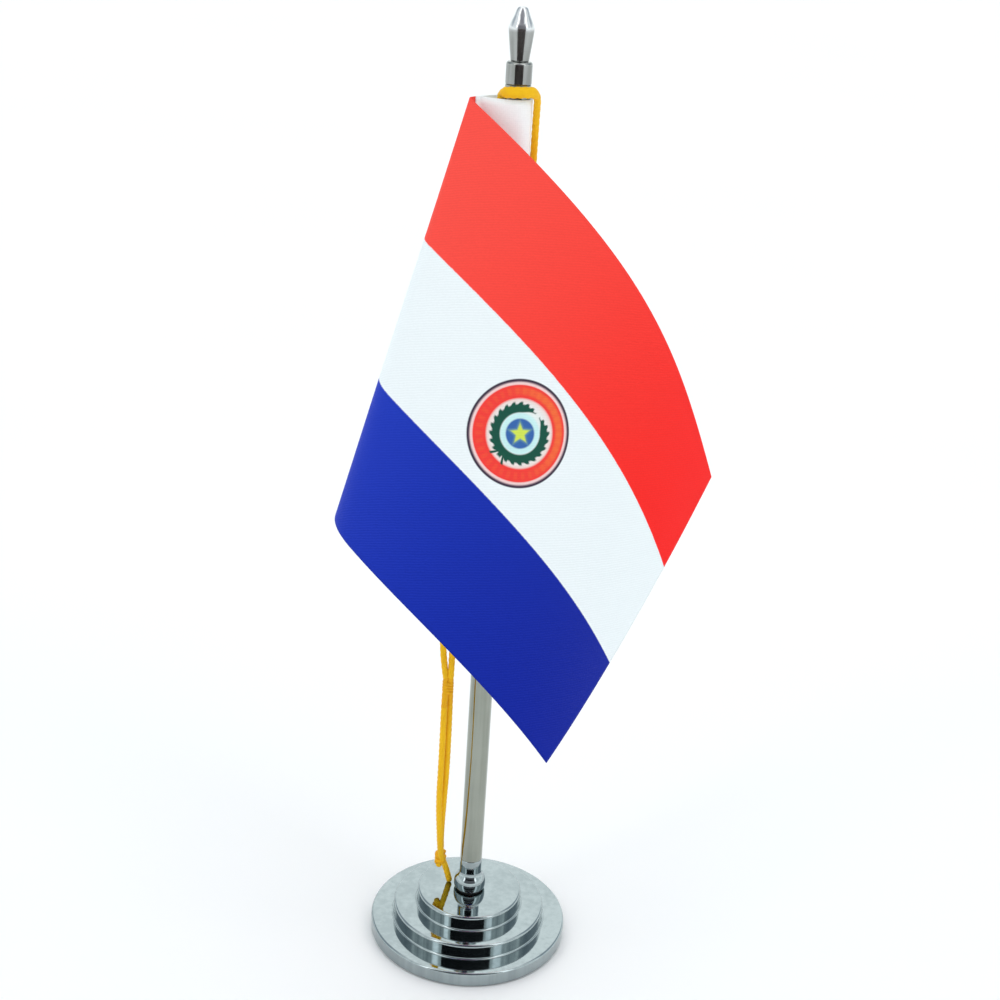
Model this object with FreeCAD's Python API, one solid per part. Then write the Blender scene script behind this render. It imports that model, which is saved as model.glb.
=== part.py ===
"""Desk flag stand: three-tier round base, screwed pole, screwed finial, flag on a sleeve, cord.

Row frame in millimetres: origin at the centre of the underside, +Z up along the pole,
+X to the right, -Y toward the viewer.
"""
import math
import os

import FreeCAD
import Part

V = FreeCAD.Vector
UP = V(0, 0, 1)

# ---- base: a felt pad under three stacked discs -------------------------------------
PAD_R, PAD_T = 32.0, 1.2
PAD_RECESS = 0.8
TIER_R = (36.0, 27.7, 19.1)
TIER_Z = (0.4, 5.9, 11.7, 17.5)
TOP_EDGE_R, LOW_EDGE_R = 0.95, 0.7
COVE_R, COVE_STEPS = 0.7, 6
SCREW_R = 2.45
SCREW_HOLE_R = 2.7
SCREW_TOP = 28.5
HEAD_R, HEAD_T = 4.5, 2.6
HEAD_POCKET_R, HEAD_POCKET_H = 5.6, 3.4
SLOT_LEN, SLOT_W, SLOT_DEPTH = 5.2, 1.0, 1.4
WASHER_R, WASHER_T = 5.0, 0.7
RUNNING_GAP = 0.05

# ---- pole ---------------------------------------------------------------------------
POLE_R, TUBE_WALL = 4.0, 0.8
FOOT_WASHER_R, FOOT_WASHER_T = 4.9, 0.7
FOOT_Z = TIER_Z[3] + FOOT_WASHER_T + 0.1
FOOT_BELL = ((5.3, FOOT_Z), (5.7, 18.8), (5.8, 19.8), (5.75, 21.0), (5.5, 22.1), (5.0, 23.1),
             (4.4, 24.0), (4.1, 24.7), (POLE_R, 25.4))
TUBE_Z0, TUBE_Z1 = 30.7, 311.7
SPIGOT_LEN = 8.0
PLUG_LEN = 15.7

# ---- finial -------------------------------------------------------------------------
COLLAR_Z0, COLLAR_Z1, COLLAR_R = 311.8, 318.6, 4.05
FINIAL_Z0 = 318.7
NECK_R, RIDGE_R, RIDGE_Z = 2.9, 3.95, 328.0
NOSE = ((3.7, 1.2), (3.05, 2.8), (2.35, 4.4), (1.9, 5.5), (1.6, 6.2))
NOSE_R, TIP_Z = 1.1, 334.8
STUD_R = 1.95
STUD_Z0, STUD_Z1 = 303.0, 324.0

# ---- flag ---------------------------------------------------------------------------
HOIST, LENGTH = 121.0, 172.5
CLOTH_T = 0.4
SEAM_X, SEAM_Y = -12.7, -2.0
SLEEVE_TOP = 307.6
APEX_RISE = 6.0
BACK_END = math.radians(20.8)
BEND_END = math.radians(30.9)
CONE_HALF = math.radians(5.58)
BACK_HEADING = math.radians(49.4)
CURL = (-2.11, 0.766, -0.014)
SKIN_ROWS, ROW_GRADING = 24, 1.5
SKIN_COLUMNS, COLUMN_GRADING = 72, 1.6
CANVAS_T = 0.4
POCKET_R = 4.35
POCKET_LEN = 11.2
STITCH_PITCH = 4.0
STITCH_LEN, STITCH_R, CORE_R = 2.8, 0.22, 0.15

# ---- cord ---------------------------------------------------------------------------
CORD_D = 2.3
LOOP_ROUTE = (
    (-12.4, -6.9, 108.2), (-14.05, -6.0, 117.6), (-14.35, -3.6, 127.7), (-11.4, 0.4, 152.0),
    (-5.6, 0.1, 180.0), (-5.4, 0.0, 233.0), (-5.5, 0.1, 273.0), (-5.4, 0.0, 302.0),
    (-5.3, 0.0, 306.2), (-5.0, -1.3, 308.9), (-4.0, -4.2, 309.7), (-1.5, -5.4, 309.9),
    (3.0, -5.3, 310.2), (5.2, -4.0, 310.0), (6.2, -1.9, 308.3), (6.1, -0.2, 303.5),
    (6.05, 0.2, 283.0), (6.15, 0.5, 250.0), (6.3, 1.0, 205.0), (6.0, 2.4, 181.0),
    (1.5, 7.0, 160.0), (-7.5, 3.4, 140.0), (-10.85, -2.8, 124.7), (-10.75, -6.4, 115.6),
    (-10.9, -6.9, 108.2),
)
TAIL_LEFT_ROUTE = (
    (-12.55, -8.0, 98.7), (-12.45, -9.6, 77.0), (-12.75, -8.6, 59.3), (-11.8, -5.2, 41.4),
    (-11.2, -0.6, 30.4), (-9.2, 1.6, 24.9), (-7.5, 2.3, 18.0),
)
TAIL_RIGHT_ROUTE = (
    (-10.75, -6.4, 98.7), (-10.45, -8.1, 76.8), (-11.05, -7.0, 59.1), (-11.55, -2.9, 41.4),
    (-11.2, 1.3, 31.1), (-11.9, 1.2, 24.6),
)
KNOTS = {
    "cord_knot_upper": (V(-11.65, -7.0, 103.4), 2.4, 7.0),
    "cord_knot_lower": (V(-11.0, 0.6, 28.8), 2.4, 4.5),
}

parts = {}


def cylinder(radius, z0, z1):
    return Part.makeCylinder(radius, z1 - z0, V(0, 0, z0), UP)


def turned(profile):
    """Solid of revolution about the pole axis from (radius, height) points."""
    points = [V(r, 0, z) for r, z in profile]
    wire = Part.makePolygon(points + [points[0]])
    return Part.Face(wire).revolve(V(0, 0, 0), UP, 360)


def cove(radius, z):
    """Hollow quarter round that spreads a wall outward where it meets the ledge below."""
    turns = [math.pi / 2 * k / COVE_STEPS for k in range(COVE_STEPS + 1)]
    return [(radius + COVE_R * (1 - math.sin(t)), z + COVE_R * (1 - math.cos(t)))
            for t in turns]


def rim_rounded(plate, z, edge_r):
    """The plate with its outer edge at height z rounded off."""
    rim = [edge for edge in plate.Edges if abs(edge.CenterOfMass.z - z) < edge_r / 2]
    return plate.makeFillet(edge_r, rim)


# ---- base pieces --------------------------------------------------------------------
parts["base_pad"] = cylinder(PAD_R, 0, PAD_T)

washer_top = TIER_Z[0] + PAD_RECESS + HEAD_POCKET_H
lower = rim_rounded(cylinder(TIER_R[0], TIER_Z[0], TIER_Z[1]), TIER_Z[0], LOW_EDGE_R)
lower = rim_rounded(lower, TIER_Z[1], TOP_EDGE_R)
lower = lower.cut(cylinder(PAD_R + 0.2, 0, TIER_Z[0] + PAD_RECESS))
lower = lower.cut(cylinder(HEAD_POCKET_R, 0, washer_top))
parts["base_disc_lower"] = lower.cut(cylinder(SCREW_HOLE_R, 0, TIER_Z[3]))
for name, radius, z0, z1 in zip(("base_disc_middle", "base_disc_upper"),
                                TIER_R[1:], TIER_Z[1:], TIER_Z[2:]):
    plate = turned([(0, z0)] + cove(radius, z0) + [(radius, z1), (0, z1)])
    plate = rim_rounded(plate, z1, TOP_EDGE_R)
    parts[name] = plate.cut(cylinder(SCREW_HOLE_R, z0, z1))

head_top = washer_top - WASHER_T
ring = cylinder(WASHER_R, head_top, washer_top)
parts["base_washer"] = ring.cut(cylinder(SCREW_HOLE_R, head_top, washer_top))
head_z = head_top - HEAD_T
screw = turned([(0, head_z), (HEAD_R - 0.8, head_z), (HEAD_R, head_z + 0.8),
                (HEAD_R, head_top), (SCREW_R, head_top),
                (SCREW_R, SCREW_TOP - 0.8), (SCREW_R - 0.8, SCREW_TOP), (0, SCREW_TOP)])
for angle in (0, 90):
    slot = Part.makeBox(SLOT_LEN, SLOT_W, SLOT_DEPTH, V(-SLOT_LEN / 2, -SLOT_W / 2, head_z))
    slot.rotate(V(0, 0, 0), UP, angle)
    screw = screw.cut(slot)
parts["base_screw"] = screw

# ---- pole pieces --------------------------------------------------------------------
thread_r = SCREW_R + RUNNING_GAP
washer = cylinder(FOOT_WASHER_R, TIER_Z[3], TIER_Z[3] + FOOT_WASHER_T)
parts["foot_washer"] = washer.cut(cylinder(thread_r + 0.1, TIER_Z[3], FOOT_Z))

tube_bore_r = POLE_R - TUBE_WALL
foot = turned([(0, FOOT_Z)] + list(FOOT_BELL)
              + [(POLE_R, TUBE_Z0 - 0.15), (POLE_R - 0.15, TUBE_Z0), (tube_bore_r, TUBE_Z0),
                 (tube_bore_r, TUBE_Z0 + SPIGOT_LEN), (0, TUBE_Z0 + SPIGOT_LEN)])
parts["pole_foot"] = foot.cut(cylinder(thread_r, 0, SCREW_TOP + 1.5))
tube = cylinder(POLE_R, TUBE_Z0, TUBE_Z1)
parts["pole_tube"] = tube.cut(cylinder(tube_bore_r, TUBE_Z0, TUBE_Z1))
stud_bore_r = STUD_R + RUNNING_GAP
plug = cylinder(tube_bore_r, TUBE_Z1 - PLUG_LEN, TUBE_Z1)
parts["pole_top_plug"] = plug.cut(cylinder(stud_bore_r, STUD_Z0 - 2, TUBE_Z1))

# ---- finial pieces ------------------------------------------------------------------
collar = turned([(0, COLLAR_Z0), (COLLAR_R - 0.2, COLLAR_Z0), (COLLAR_R, COLLAR_Z0 + 0.2),
                 (COLLAR_R, COLLAR_Z1 - 1.2), (COLLAR_R - 0.15, COLLAR_Z1 - 0.6),
                 (COLLAR_R - 0.55, COLLAR_Z1 - 0.15), (COLLAR_R - 1.05, COLLAR_Z1),
                 (0, COLLAR_Z1)])
parts["finial_collar"] = collar.cut(cylinder(stud_bore_r, COLLAR_Z0, COLLAR_Z1))
tip = turned([(0, FINIAL_Z0), (NECK_R - 0.1, FINIAL_Z0), (NECK_R, FINIAL_Z0 + 0.8),
              (RIDGE_R, RIDGE_Z)]
             + [(radius, RIDGE_Z + rise) for radius, rise in NOSE]
             + [(NOSE_R, TIP_Z - 0.2), (0, TIP_Z)])
parts["finial_tip"] = tip.cut(cylinder(STUD_R, FINIAL_Z0, STUD_Z1))
parts["finial_stud"] = cylinder(STUD_R, STUD_Z0, STUD_Z1)


# ---- flag cloth ---------------------------------------------------------------------
# The cloth is bent without stretching. From the seam it runs flat to the left, turns
# forward round a cone whose apex sits just above the seam's top, then curls on as a
# cylinder whose rulings follow the last line of the cone.
def direction(angle, down, out):
    return down * math.cos(angle) + out * math.sin(angle)


def turned_about(vector, axis, angle):
    return (vector * math.cos(angle) + axis.cross(vector) * math.sin(angle)
            + axis * (axis.dot(vector) * (1 - math.cos(angle))))


down = V(0, 0, -1)
outward = V(-math.cos(BACK_HEADING), -math.sin(BACK_HEADING), 0)
first = direction(BACK_END, down, outward)
first_side = direction(BACK_END + math.pi / 2, down, outward)
first_normal = first.cross(first_side)
cone_axis = first * math.cos(CONE_HALF) - first_normal * math.sin(CONE_HALF)
cone_turn = -(BEND_END - BACK_END) / math.sin(CONE_HALF)
last = turned_about(first, cone_axis, cone_turn)
last_side = turned_about(first_side, cone_axis, cone_turn)
last_normal = turned_about(first_normal, cone_axis, cone_turn)

CURL_STEPS = 400
CURL_REACH = 1.05 * (LENGTH + HOIST)
curl_path = [(0.0, 0.0)]
for k in range(CURL_STEPS):
    s = CURL_REACH * (k + 0.5) / CURL_STEPS / 100
    heading = sum(c * s ** (i + 1) for i, c in enumerate(CURL))
    step = CURL_REACH / CURL_STEPS
    x, y = curl_path[-1]
    curl_path.append((x + step * math.cos(heading), y + step * math.sin(heading)))


def cloth_point(u, v):
    """Middle of the cloth, u mm from the seam and v mm below the top edge."""
    v += APEX_RISE
    apex = V(SEAM_X, SEAM_Y, SLEEVE_TOP + APEX_RISE)
    rho, angle = math.hypot(u, v), math.atan2(u, v)
    if angle <= BACK_END:
        return apex + direction(angle, down, outward) * rho
    if angle <= BEND_END:
        share = (angle - BACK_END) / (BEND_END - BACK_END)
        return apex + turned_about(first, cone_axis, cone_turn * share) * rho
    along = u * math.sin(BEND_END) + v * math.cos(BEND_END)
    k = (u * math.cos(BEND_END) - v * math.sin(BEND_END)) / CURL_REACH * CURL_STEPS
    k0 = min(int(k), CURL_STEPS - 1)
    (x0, y0), (x1, y1) = curl_path[k0], curl_path[k0 + 1]
    x, y = x0 + (x1 - x0) * (k - k0), y0 + (y1 - y0) * (k - k0)
    return apex + last * along + last_side * x + last_normal * y


def middle_surface():
    """The cloth's middle, sampled most closely near the seam's top, where the bend is tight."""
    grid = []
    for row in range(SKIN_ROWS + 1):
        v = HOIST * (row / SKIN_ROWS) ** ROW_GRADING
        grid.append([cloth_point(LENGTH * (k / SKIN_COLUMNS) ** COLUMN_GRADING, v)
                     for k in range(SKIN_COLUMNS + 1)])
    surface = Part.BSplineSurface()
    surface.interpolate(grid)
    return surface


def pole_values(knots, counts, degree):
    """Surface value that belongs to each pole: the mean of the knots that hold it."""
    full = [k for k, n in zip(knots, counts) for _ in range(n)]
    return [sum(full[i + 1:i + 1 + degree]) / degree for i in range(len(full) - degree - 1)]


def skin(middle, offset):
    """The middle surface moved sideways by moving its poles along the normals."""
    u_knots, v_knots = middle.getUKnots(), middle.getVKnots()
    u_counts, v_counts = middle.getUMultiplicities(), middle.getVMultiplicities()
    poles = []
    for u, row in zip(pole_values(u_knots, u_counts, middle.UDegree), middle.getPoles()):
        values = pole_values(v_knots, v_counts, middle.VDegree)
        poles.append([pole + middle.normal(u, v) * offset for v, pole in zip(values, row)])
    surface = Part.BSplineSurface()
    surface.buildFromPolesMultsKnots(poles, u_counts, v_counts, u_knots, v_knots, False, False,
                                     middle.UDegree, middle.VDegree)
    return surface


def borders(surface):
    u0, u1, v0, v1 = surface.bounds()
    return surface.uIso(u0), surface.uIso(u1), surface.vIso(v0), surface.vIso(v1)


def strip(one, other):
    """Straight strip that closes the cloth's thickness along one border."""
    surface = Part.BSplineSurface()
    surface.buildFromPolesMultsKnots(
        [one.getPoles(), other.getPoles()], [2, 2], one.getMultiplicities(), [0, 1],
        one.getKnots(), False, False, 1, one.Degree)
    return surface.toShape()


middle = middle_surface()
front, back = skin(middle, CLOTH_T / 2), skin(middle, -CLOTH_T / 2)
faces = [front.toShape(), back.toShape()]
faces += [strip(one, other) for one, other in zip(borders(front), borders(back))]
shell = Part.makeShell(faces)
shell.sewShape()
cloth = Part.makeSolid(shell)
if cloth.Volume < 0:
    cloth.reverse()
parts["flag_cloth"] = cloth


# ---- flag sleeve --------------------------------------------------------------------
# The pocket is round where it wraps the pole and narrows to the seam on the left.
def pocket_half(s):
    return POCKET_R * max(0.0, 1 - (s / POCKET_LEN) ** 2) ** 0.9


def sleeve_outline(wall, reach):
    """Closed outline round the pole: a half circle, then both sides run to the seam."""
    ends = []
    for side in (1, -1):
        line = []
        for k in range(13):
            s = reach * k / 12
            t = s / -SEAM_X
            half = pocket_half(s) + wall
            line.append(V(-s, SEAM_Y * t ** 3 + side * half, SLEEVE_TOP - HOIST))
        ends.append(line)
    upper_side, lower_side = ends
    arc = Part.Arc(upper_side[0], V(POCKET_R + wall, 0, SLEEVE_TOP - HOIST), lower_side[0])
    edges = [arc.toShape()]
    for line in ends:
        spline = Part.BSplineCurve()
        spline.interpolate(line)
        edges.append(spline.toShape())
    if (upper_side[-1] - lower_side[-1]).Length > 1e-6:
        edges.append(Part.makeLine(upper_side[-1], lower_side[-1]))
    return Part.Face(Part.Wire(Part.__sortEdges__(edges)))


outside = sleeve_outline(CANVAS_T, -SEAM_X).extrude(UP * HOIST)
inside = sleeve_outline(0.0, POCKET_LEN - 0.3).extrude(UP * HOIST)
parts["flag_sleeve"] = outside.cut(inside)

# ---- seam stitching: a thread that shows on both faces of the seam --------------------
seam_half = CANVAS_T + 0.05
seam_at = V(SEAM_X + 0.9, SEAM_Y + 0.45, 0)
across = V(0, 1, 0)
core_start = seam_at + V(0, 0, SLEEVE_TOP - HOIST + 2)
stitching = Part.makeCylinder(CORE_R, HOIST - 4, core_start, UP)
count = int((HOIST - 6) / STITCH_PITCH)
for k in range(count):
    z = SLEEVE_TOP - HOIST + 4 + STITCH_PITCH * k
    for side in (1, -1):
        start = seam_at + across * (side * seam_half) + V(0, 0, z)
        stitching = stitching.fuse(Part.makeCylinder(STITCH_R, STITCH_LEN, start, UP))
    start = seam_at - across * seam_half + V(0, 0, z + STITCH_LEN / 2)
    stitching = stitching.fuse(Part.makeCylinder(CORE_R, 2 * seam_half, start, across))
parts["seam_stitching"] = stitching


# ---- cord ---------------------------------------------------------------------------
def cord(name, route):
    """Round tube on a path of straight runs joined by tangent arcs."""
    points = [V(*p) for p in route]
    edges, here = [], points[0]
    for a, b, c in zip(points, points[1:], points[2:]):
        before, after = b - a, c - b
        turn = before.getAngle(after)
        trim = 0.45 * min(before.Length, after.Length)
        radius = trim / math.tan(turn / 2)
        start = b - before.normalize() * trim
        end = b + after.normalize() * trim
        bisector = (after - before).normalize()
        middle = b + bisector * (radius / math.cos(turn / 2) - radius)
        edges.append(Part.makeLine(here, start))
        edges.append(Part.Arc(start, middle, end).toShape())
        here = end
    edges.append(Part.makeLine(here, points[-1]))
    path = Part.Wire(edges)
    ring_edge = Part.makeCircle(CORD_D / 2, points[0], points[1] - points[0])
    print("%-18s length %.1f mm" % (name, path.Length))
    parts[name] = path.makePipeShell([Part.Wire(ring_edge)], True, False)


cord("cord_loop", LOOP_ROUTE)
cord("cord_tail_left", TAIL_LEFT_ROUTE)
cord("cord_tail_right", TAIL_RIGHT_ROUTE)
for name, (centre, half_width, half_height) in KNOTS.items():
    ball = Part.makeSphere(half_width)
    stretch = FreeCAD.Matrix()
    stretch.scale(V(1, 0.8, half_height / half_width))
    ball = ball.transformGeometry(stretch)
    ball.translate(centre)
    parts[name] = ball

# ---- export -------------------------------------------------------------------------
os.makedirs("parts", exist_ok=True)
for name, shape in parts.items():
    solids = shape.Solids
    if len(solids) != 1 or not solids[0].isValid():
        raise ValueError("%s is not one valid solid: %d" % (name, len(solids)))
    solids[0].exportStep("parts/%s.step" % name)
    box = shape.BoundBox
    print("%-18s %9.1f mm3  x %.1f..%.1f  y %.1f..%.1f  z %.1f..%.1f" % (
        name, solids[0].Volume, box.XMin, box.XMax, box.YMin, box.YMax, box.ZMin, box.ZMax))
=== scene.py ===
import math

import bpy
import bmesh
from mathutils import Matrix, Vector


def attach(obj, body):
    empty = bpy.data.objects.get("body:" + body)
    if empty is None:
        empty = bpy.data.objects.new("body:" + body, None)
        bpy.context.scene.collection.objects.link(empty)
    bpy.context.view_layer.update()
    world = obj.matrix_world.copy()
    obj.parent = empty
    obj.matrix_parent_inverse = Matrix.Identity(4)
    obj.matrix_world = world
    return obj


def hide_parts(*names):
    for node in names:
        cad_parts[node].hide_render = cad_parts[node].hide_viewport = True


# Desk flag stand: stepped chromed base, pole and finial, printed flag on a canvas sleeve,
# and a golden cord. Lengths are in millimetres until they reach a mesh, and the world's
# directions are in degrees.

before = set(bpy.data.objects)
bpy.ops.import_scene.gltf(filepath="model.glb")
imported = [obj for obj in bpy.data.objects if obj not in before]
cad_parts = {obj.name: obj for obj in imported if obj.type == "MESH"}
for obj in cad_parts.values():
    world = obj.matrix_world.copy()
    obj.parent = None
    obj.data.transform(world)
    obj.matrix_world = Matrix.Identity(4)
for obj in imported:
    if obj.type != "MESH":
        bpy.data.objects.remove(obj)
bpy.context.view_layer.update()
scene = bpy.context.scene

MM = 0.001
TURN = 2 * math.pi

# ---- sizes shared with the part ---------------------------------------------------------
TIER_R = (36.0, 27.7, 19.1)
TIER_Z = (0.4, 5.9, 11.7, 17.5)
TOP_EDGE_R, LOW_EDGE_R, COVE_R = 0.95, 0.7, 0.7
PAD_R, PAD_RECESS = 32.0, 0.8
SCREW_HOLE_R = 2.7
HEAD_POCKET_R, HEAD_POCKET_TOP = 5.6, 4.6
POLE_R, TUBE_BORE_R = 4.0, 3.2
TUBE_Z0, TUBE_Z1 = 30.7, 311.7
FOOT_Z, SPIGOT_TOP, FOOT_BORE_R, FOOT_BORE_TOP = 18.3, 38.7, 2.5, 30.0
COLLAR_Z0, COLLAR_Z1, COLLAR_R = 311.8, 318.6, 4.05
FINIAL_Z0, RIDGE_Z, TIP_Z = 318.7, 328.0, 334.8
STUD_R, STUD_BORE_R, STUD_TOP = 1.95, 2.0, 324.0
HOIST, LENGTH = 121.0, 172.5
SEAM_X, SEAM_Y = -12.7, -2.0
SLEEVE_TOP, APEX_RISE = 307.6, 6.0
BACK_END, BEND_END = math.radians(20.8), math.radians(30.9)
CONE_HALF, BACK_HEADING = math.radians(5.58), math.radians(49.4)
CURL = (-2.11, 0.766, -0.014)
CANVAS_T, POCKET_R, POCKET_LEN = 0.4, 4.35, 11.2
STITCH_PITCH, STITCH_LEN = 4.0, 2.8
CORD_D = 2.3
LOOP_ROUTE = (
    (-12.4, -6.9, 108.2), (-14.05, -6.0, 117.6), (-14.35, -3.6, 127.7), (-11.4, 0.4, 152.0),
    (-5.6, 0.1, 180.0), (-5.4, 0.0, 233.0), (-5.5, 0.1, 273.0), (-5.4, 0.0, 302.0),
    (-5.3, 0.0, 306.2), (-5.0, -1.3, 308.9), (-4.0, -4.2, 309.7), (-1.5, -5.4, 309.9),
    (3.0, -5.3, 310.2), (5.2, -4.0, 310.0), (6.2, -1.9, 308.3), (6.1, -0.2, 303.5),
    (6.05, 0.2, 283.0), (6.15, 0.5, 250.0), (6.3, 1.0, 205.0), (6.0, 2.4, 181.0),
    (1.5, 7.0, 160.0), (-7.5, 3.4, 140.0), (-10.85, -2.8, 124.7), (-10.75, -6.4, 115.6),
    (-10.9, -6.9, 108.2),
)
TAIL_LEFT_ROUTE = (
    (-12.55, -8.0, 98.7), (-12.45, -9.6, 77.0), (-12.75, -8.6, 59.3), (-11.8, -5.2, 41.4),
    (-11.2, -0.6, 30.4), (-9.2, 1.6, 24.9), (-7.5, 2.3, 18.0),
)
TAIL_RIGHT_ROUTE = (
    (-10.75, -6.4, 98.7), (-10.45, -8.1, 76.8), (-11.05, -7.0, 59.1), (-11.55, -2.9, 41.4),
    (-11.2, 1.3, 31.1), (-11.9, 1.2, 24.6),
)
UPPER_KNOT, LOWER_KNOT = Vector((-11.65, -7.0, 103.4)), Vector((-11.0, 0.6, 28.8))


# ---- node helpers -----------------------------------------------------------------------
class Graph:
    """A node tree with short calls for adding nodes and wiring them."""

    def __init__(self, tree):
        self.tree = tree
        tree.nodes.clear()

    def plug(self, socket, value):
        if isinstance(value, bpy.types.NodeSocket):
            self.tree.links.new(value, socket)
        elif isinstance(value, (tuple, list)) and len(value) == 3 and socket.type == "RGBA":
            socket.default_value = (*value, 1.0)
        else:
            socket.default_value = value

    def add(self, kind, inputs=None, **settings):
        node = self.tree.nodes.new(kind)
        for key, value in settings.items():
            setattr(node, key, value)
        for key, value in (inputs or {}).items():
            self.plug(node.inputs[key], value)
        return node

    def math(self, operation, *values):
        inputs = dict(enumerate(values))
        return self.add("ShaderNodeMath", inputs, operation=operation).outputs[0]

    def ease(self, value, low, high, to_low=0.0, to_high=1.0):
        """Smooth step of value from low to high."""
        inputs = {0: value, 1: low, 2: high, 3: to_low, 4: to_high}
        node = self.add("ShaderNodeMapRange", inputs, interpolation_type="SMOOTHSTEP")
        return node.outputs[0]

    def mix(self, share, a, b):
        node = self.add("ShaderNodeMix", {0: share, 6: a, 7: b}, data_type="RGBA")
        return node.outputs[2]

    def noise(self, vector, scale, detail=3.0, rough=0.55):
        inputs = {"Vector": vector, "Scale": scale, "Detail": detail, "Roughness": rough}
        return self.add("ShaderNodeTexNoise", inputs).outputs[0]

    def bump(self, height, strength, distance):
        inputs = {"Height": height, "Strength": strength, "Distance": distance}
        return self.add("ShaderNodeBump", inputs).outputs[0]

    def surface(self, **inputs):
        named = {key.replace("_", " "): value for key, value in inputs.items()}
        shader = self.add("ShaderNodeBsdfPrincipled", named)
        output = self.add("ShaderNodeOutputMaterial")
        self.tree.links.new(shader.outputs[0], output.inputs[0])


def new_material(name):
    material = bpy.data.materials.new(name)
    material.use_nodes = True
    graph = Graph(material.node_tree)
    place = graph.add("ShaderNodeTexCoord")
    return material, graph, place.outputs["Object"], place.outputs["UV"]


# ---- materials --------------------------------------------------------------------------
RIDGE_BLEND = 0.8
TWILL_PITCH, WEAVE_PITCH = 1.1, 0.65
FIBRES_A_STRAND = 6


def chrome(name, light, dark, rough, bright=None):
    """Plated metal: two close tones in soft patches and upright polishing streaks, on a
    slightly uneven surface. bright is a painted highlight: the tone above the finial's ridge."""
    material, g, place, _ = new_material(name)
    cloudy = g.noise(place, 45.0)
    fine = g.noise(place, 900.0, 2.0)
    upright = g.add("ShaderNodeVectorMath", {0: place, 1: (1.0, 1.0, 0.05)},
                    operation="MULTIPLY").outputs[0]
    streaks = g.noise(upright, 420.0, 2.0)
    tone = g.math("ADD", g.math("MULTIPLY", cloudy, 0.5), g.math("MULTIPLY", streaks, 0.5))
    colour = g.mix(g.ease(tone, 0.35, 0.65), dark, light)
    # painted highlight: above the finial's ridge the colour turns to the bright tone
    if bright:
        height = g.add("ShaderNodeSeparateXYZ", {0: place}).outputs[2]
        upper = g.ease(height, (RIDGE_Z - RIDGE_BLEND) * MM, (RIDGE_Z + RIDGE_BLEND) * MM)
        colour = g.mix(upper, colour, g.mix(tone, light, bright))
    g.surface(
        Base_Color=colour,
        Metallic=1.0,
        Roughness=g.ease(cloudy, 0.3, 0.7, rough * 0.7, rough * 1.3),
        Normal=g.bump(fine, 0.02, 0.0001),
    )
    return material


def steel():
    material, g, place, _ = new_material("zinc_steel")
    grain = g.noise(place, 400.0, 6.0)
    g.surface(
        Base_Color=g.mix(grain, (0.42, 0.43, 0.45), (0.62, 0.63, 0.64)),
        Metallic=1.0,
        Roughness=g.ease(grain, 0.2, 0.8, 0.25, 0.45),
    )
    return material


def dull(name, light, dark, scale, depth):
    """Matt soft surface, such as felt or rubber."""
    material, g, place, _ = new_material(name)
    grain = g.noise(place, scale, 6.0, 0.7)
    g.surface(
        Base_Color=g.mix(grain, dark, light),
        Roughness=0.95,
        Specular_IOR_Level=0.2,
        Normal=g.bump(grain, 0.6, depth),
    )
    return material


def weave(g, uv):
    """Height of plain-woven threads: two crossing sets of ridges over flat coordinates."""
    split = g.add("ShaderNodeSeparateXYZ", {0: uv})
    warp = g.math("SINE", g.math("MULTIPLY", split.outputs[0], TURN / WEAVE_PITCH))
    weft = g.math("SINE", g.math("MULTIPLY", split.outputs[1], TURN / WEAVE_PITCH))
    return g.math("MULTIPLY", g.math("ADD", warp, weft), 0.25)


def twill(g, uv):
    """Height of a twill's ribs, which run slantwise over flat coordinates."""
    split = g.add("ShaderNodeSeparateXYZ", {0: uv})
    wander = g.math("MULTIPLY", g.noise(uv, 0.35, 2.0), 0.9)
    across = g.math("ADD", g.math("ADD", split.outputs[0], split.outputs[1]), wander)
    return g.math("SINE", g.math("MULTIPLY", across, TURN / TWILL_PITCH))


def canvas():
    material, g, _, uv = new_material("white_canvas")
    threads = weave(g, uv)
    slub = g.noise(uv, 1.2, 4.0)
    tone = g.math("ADD", g.math("MULTIPLY", threads, 0.3), slub)
    g.surface(
        Base_Color=g.mix(tone, (0.79, 0.79, 0.80), (0.91, 0.91, 0.91)),
        # painted light: a faint pale cyan glow lightens the canvas, standing in for light through
        # it
        Emission_Color=(0.72, 0.92, 0.92, 1.0),
        Emission_Strength=0.14,
        Roughness=0.9,
        Specular_IOR_Level=0.2,
        Normal=g.bump(g.math("ADD", threads, slub), 0.3, 0.0001),
    )
    return material


# painted light and shade: red and blue are lighter at the seam and darker at the free end
RED_LIT_LEFT, RED_SHADED_RIGHT = (0.99, 0.085, 0.065), (0.99, 0.008, 0.006)
BLUE_LIT_LEFT, BLUE_SHADED_RIGHT = (0.016, 0.048, 0.52), (0.001, 0.014, 0.32)
WHITE = (0.88, 0.93, 0.95)
EMBLEM_AT, EMBLEM_R = (87.5, 60.1), 16.5
EMBLEM_RINGS = (
    (0.0, (0.045, 0.14, 0.42)), (0.26, (0.045, 0.14, 0.42)), (0.29, (0.58, 0.86, 0.86)),
    (0.36, (0.62, 0.88, 0.88)), (0.40, (0.80, 0.88, 0.86)), (0.55, (0.86, 0.82, 0.80)),
    (0.62, (0.88, 0.70, 0.66)), (0.66, (0.92, 0.055, 0.045)), (0.88, (0.92, 0.055, 0.045)),
    (0.90, (0.92, 0.62, 0.60)), (0.925, (0.92, 0.66, 0.66)), (0.955, (0.16, 0.10, 0.13)),
    (0.97, (0.045, 0.030, 0.055)), (1.0, (0.045, 0.030, 0.055)),
)
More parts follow.
